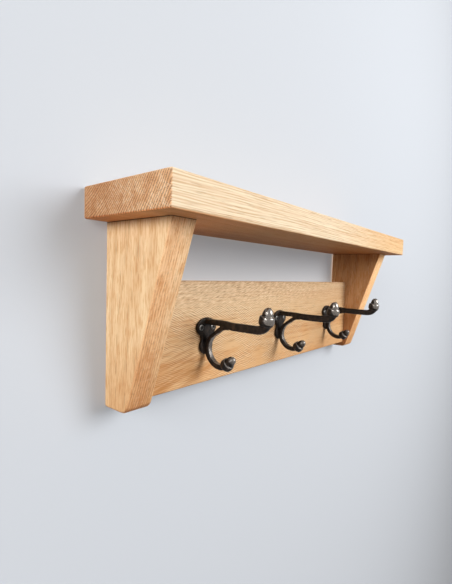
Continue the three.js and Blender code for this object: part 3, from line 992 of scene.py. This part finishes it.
def add_hooks():
    """Three equal castings, each with its two screws, where the solids are."""
    casting = hook_casting()
    casting.materials.append(cast_iron("cast_iron"))
    fastener = screw_mesh()
    fastener.materials.append(black_screw("black_screw"))
    for hook in ("hook_1", "hook_2", "hook_3"):
        low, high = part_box(hook)
        screw_low, screw_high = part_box(hook + "_screw_left")
        middle = (low.x + high.x) / 2
        rise = (screw_low.z + screw_high.z) / 2
        place_copy(casting, hook + "_casting", hook, (middle, high.y, rise))
        for side, direction in (("left", -1), ("right", 1)):
            x = middle + direction * SCREW_SPACING / 2 * MM
            seat = (x, high.y - PLATE * MM, rise)
            place_copy(fastener, f"{hook}_{side}_screw", f"{hook}_screw_{side}", seat)


# Wood and hidden metal, which keep their solids

def give(node, material):
    """Gives a solid its material, and shades its rounded edges."""
    piece = frame["nodes"][node]
    piece.data.materials.clear()
    piece.data.materials.append(material)
    smooth_edges(piece)


def dress_boards():
    """Oak for each board, from its own place in a log. The far bracket's oak is darker and redder, as
    painted shade.
    """
    give("shelf", oak("oak_shelf", LYING, (-217.0, 62.0), (0.75, 0.63, 0.45), (0.61, 0.37, 0.20),
                      shelf_marks_and_shade, banding=1.3, dashes=0.24))
    give("hook_rail", oak("oak_rail", LYING, (60.0, 70.0), (0.70, 0.485, 0.27), (0.57, 0.295, 0.12),
                          rail_marks))
    give("left_bracket", oak("oak_left_bracket", UPRIGHT, (-420.0, -62.0), (0.77, 0.55, 0.315),
                             (0.57, 0.295, 0.12), bracket_marks_and_shade))
    # Painted shade: the far bracket gets a darker, redder copy of the oak.
    give("right_bracket", oak("oak_right_bracket", UPRIGHT, (100.0, -62.0), (0.61, 0.35, 0.16),
                              (0.41, 0.185, 0.065), far_bracket_marks_and_shade))


def dress_hidden():
    """The dowels in beech, and the hanger plates and their screws in zinc."""
    pegs, zinc = beech("beech_dowel"), zinc_plate("zinc_plate")
    for name in frame["nodes"]:
        if "dowel" in name:
            give(name, pegs)
        elif name.startswith("hanger"):
            give(name, zinc)


# Stage

def seen_directly(graph):
    """One for what the camera sees, also in a mirror or through glass, and zero for thrown light."""
    path = graph.node("LightPath")
    seen = graph.math("MAXIMUM", path.outputs["Is Camera Ray"], path.outputs["Is Glossy Ray"])
    return graph.math("MAXIMUM", seen, path.outputs["Is Transmission Ray"])


def sheet_shader(graph, colour, glow, seen):
    """A matt colour that throws little light back. The glow is the share that no shadow darkens."""
    thrown = [0.3 * part for part in colour]
    matt, shine = graph.node("BsdfDiffuse"), graph.node("Emission")
    graph.plug(matt.inputs["Color"], graph.mix(seen, thrown, colour))
    graph.plug(shine.inputs["Color"], [1.35 * part for part in colour])
    return graph.blend(graph.times(seen, glow), matt.outputs[0], shine.outputs[0])


def only_in_front(graph, shader, seen):
    """The shader on the front of the sheet, and nothing behind it or for the light that it throws."""
    facing = graph.minus(1.0, graph.node("NewGeometry").outputs["Backfacing"])
    clear = graph.node("BsdfTransparent").outputs[0]
    return graph.blend(graph.times(seen, facing), clear, shader)


def plane(name, corners, colour, glow, front_only=False):
    """A pale flat sheet of the stage."""
    mesh = bpy.data.meshes.new(name)
    mesh.from_pydata(corners, [], [(0, 1, 2, 3)])
    sheet = bpy.data.objects.new(name, mesh)
    bpy.context.scene.collection.objects.link(sheet)
    material, graph = new_material(name)
    seen = seen_directly(graph)
    shader = sheet_shader(graph, colour, glow, seen)
    if front_only:
        shader = only_in_front(graph, shader, seen)
    graph.plug(graph.node("OutputMaterial").inputs["Surface"], shader)
    mesh.materials.append(material)


def add_sheets():
    """The wall just behind the rack, and a floor far below it. From behind, the wall doesn't show."""
    floor, reach, wall = -2.1, 8.0, 0.002
    upright = [(-reach, wall, floor), (reach, wall, floor), (reach, wall, reach), (-reach, wall, reach)]
    level = [(-reach, -reach, floor), (reach, -reach, floor), (reach, reach, floor), (-reach, reach, floor)]
    plane("wall", upright, (0.545, 0.58, 0.63), glow=0.2, front_only=True)
    plane("floor", level, (0.60, 0.61, 0.64), glow=0.3)


def lamp(name, place, size, power):
    """A round soft lamp that shines at the middle of the rack."""
    light = bpy.data.lights.new(name, "AREA")
    light.shape = "DISK"
    light.size = size
    light.energy = power
    holder = bpy.data.objects.new(name, light)
    holder.location = place
    holder.rotation_euler = (-Vector(place)).to_track_quat("-Z", "Y").to_euler()
    holder.visible_camera = False
    bpy.context.scene.collection.objects.link(holder)


def light_world(level, below, background):
    """Soft light from all round and less from below, with a pale background behind the object."""
    world = bpy.data.worlds.new("world")
    world.use_nodes = True
    bpy.context.scene.world = world
    graph = Graph(world.node_tree)
    rise = graph.split(graph.node("TexCoord").outputs["Generated"])[2]
    soft = graph.mix(graph.ramp(rise, -0.5, 0.1), below, level)
    sky = graph.node("Background")
    graph.plug(sky.inputs["Color"], graph.mix(seen_directly(graph), soft, background))
    graph.plug(graph.node("OutputWorld").inputs["Surface"], sky.outputs[0])


def add_stage():
    """Wall, floor and light: a key lamp in front on the right, a fill lamp on the left and one behind."""
    add_sheets()
    light_world(level=(0.42, 0.365, 0.31), below=(0.055, 0.04, 0.026), background=(0.6, 0.6, 0.6))
    lamp("key", (0.9, -2.15, 0.85), 1.7, 65)
    lamp("fill", (-2.2, -0.5, 0.6), 1.0, 42)
    lamp("rear", (0.6, 2.0, 0.9), 1.2, 40)


bpy.context.scene.view_settings.view_transform = "Standard"
add_camera()
dress_boards()
dress_hidden()
add_hooks()
add_stage()
